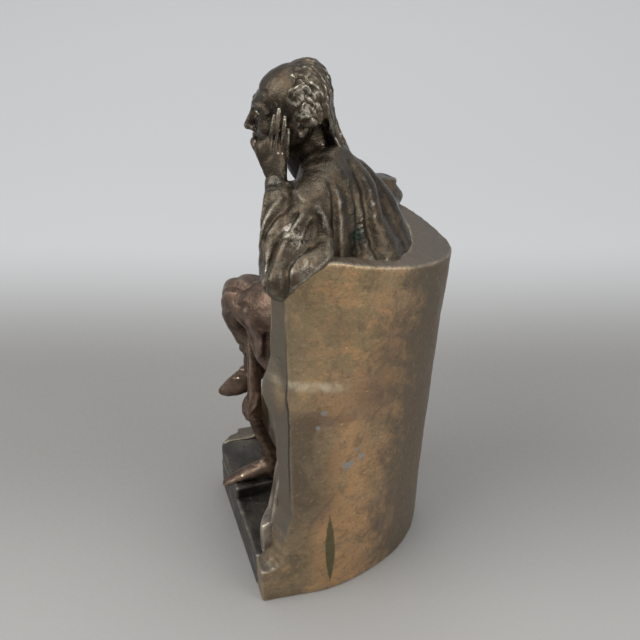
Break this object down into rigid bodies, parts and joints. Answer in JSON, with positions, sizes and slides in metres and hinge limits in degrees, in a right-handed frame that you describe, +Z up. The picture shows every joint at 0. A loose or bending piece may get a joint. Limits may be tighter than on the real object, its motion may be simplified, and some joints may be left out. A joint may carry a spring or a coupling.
{
  "type": "seated figure statuette",
  "caption": "Cast bronze statuette of a cloaked poet seated cross-legged in a tall barrel chair, cheek resting on one hand, on a low plinth.",
  "frame": {"origin": "on the table, under the middle of the plinth, on the felt pad's under face", "axes": "+Z up; -Y is the plinth's front; +X is towards the sitter's left hand"},
  "size_m": [0.1022, 0.1008, 0.2303],
  "materials": {
    "shell_bronze": "golden brown patina, satin, worn edges",
    "base_bronze": "dark grey-brown patina, satin",
    "figure_bronze": "olive-brown patina, polished high points",
    "leg_bronze": "copper-brown patina, satin",
    "pin_steel": "plain turned steel",
    "felt": "dark green felt"
  },
  "bodies": {
    "root": {"chair_shell": "shell_bronze", "plinth": "base_bronze", "foot_step": "base_bronze", "seat_casting": "base_bronze", "cloak_torso": "figure_bronze", "head": "figure_bronze", "hair": "figure_bronze", "left_sleeve": "figure_bronze", "left_hand": "figure_bronze", "right_sleeve": "figure_bronze", "right_hand": "figure_bronze", "lap_drapery": "leg_bronze", "left_leg": "leg_bronze", "right_leg": "leg_bronze", "left_shoe": "figure_bronze", "right_shoe": "figure_bronze", "neck_pin": "pin_steel", "left_wrist_pin": "pin_steel", "right_wrist_pin": "pin_steel", "left_shoulder_pin": "pin_steel", "right_shoulder_pin": "pin_steel", "left_hip_pin": "pin_steel", "right_hip_pin": "pin_steel", "left_ankle_pin": "pin_steel", "right_ankle_pin": "pin_steel", "step_screw_1": "pin_steel", "step_screw_2": "pin_steel", "toe_dowel_left": "pin_steel", "toe_dowel_right": "pin_steel", "tie_rod": "pin_steel", "rod_washer": "pin_steel", "rod_nut": "pin_steel", "base_felt": "felt"}
  },
  "joints": []
}
